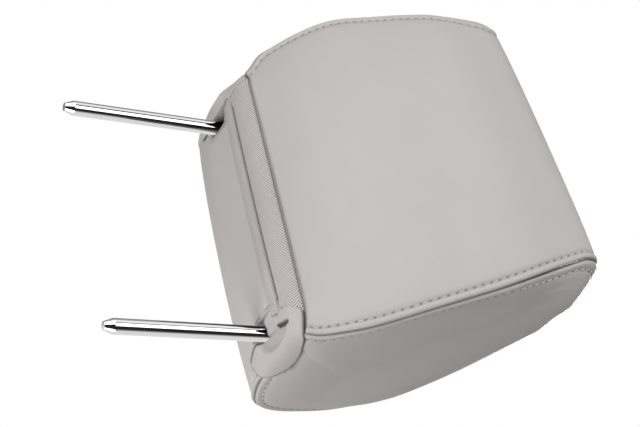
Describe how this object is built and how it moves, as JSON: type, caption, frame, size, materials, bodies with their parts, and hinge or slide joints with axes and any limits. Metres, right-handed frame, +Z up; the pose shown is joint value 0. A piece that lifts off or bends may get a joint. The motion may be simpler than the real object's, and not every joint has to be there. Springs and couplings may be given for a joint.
{
  "type": "tilting head restraint",
  "caption": "Padded head restraint in pale grey leather with French seams, tilting on two chromed posts that plug into a seat back.",
  "frame": {"origin": "midway between the two post axes, at the level where the posts enter the cushion", "axes": "+Z up along the posts towards the cushion, -Y towards the occupant's head, +X to the right seen from the front"},
  "size_m": [0.24, 0.1821, 0.284],
  "materials": {
    "chrome": "polished chrome plating",
    "plastic_black": "moulded black plastic",
    "bush_plastic": "natural acetal",
    "spring_steel": "oiled spring steel",
    "screw_steel": "zinc-plated steel",
    "buffer_rubber": "soft rubber",
    "foam": "moulded polyurethane foam",
    "leather": "smooth pale warm-grey leather with fine grain",
    "tape_fabric": "ribbed woven textile tape",
    "hook_plastic": "extruded plastic"
  },
  "bodies": {
    "posts": {"post_rod": "chrome", "stop_lug": "screw_steel"},
    "cushion": {"core_front_shell": "plastic_black", "core_rear_shell": "plastic_black", "core_screws": "screw_steel", "pivot_bush_left": "bush_plastic", "pivot_bush_right": "bush_plastic", "friction_clip_left": "spring_steel", "friction_clip_right": "spring_steel", "clip_screws": "screw_steel", "stop_buffer_front": "buffer_rubber", "stop_buffer_rear": "buffer_rubber", "foam_front_pad": "foam", "foam_rear_pad": "foam", "cover_front_panel": "leather", "cover_rear_panel": "leather", "cover_side_left": "leather", "cover_side_right": "leather", "closing_tape_front": "tape_fabric", "closing_tape_rear": "tape_fabric", "corner_ear_left": "tape_fabric", "corner_ear_right": "tape_fabric", "slot_liner_left": "plastic_black", "slot_liner_right": "plastic_black", "closing_hook_front": "hook_plastic", "closing_hook_rear": "hook_plastic"}
  },
  "joints": [
    {"name": "tilt", "type": "hinge", "parent": "posts", "child": "cushion", "pos_m": [0, 0, 0.08], "axis": [1, 0, 0], "range_deg": [0, 14]}
  ]
}
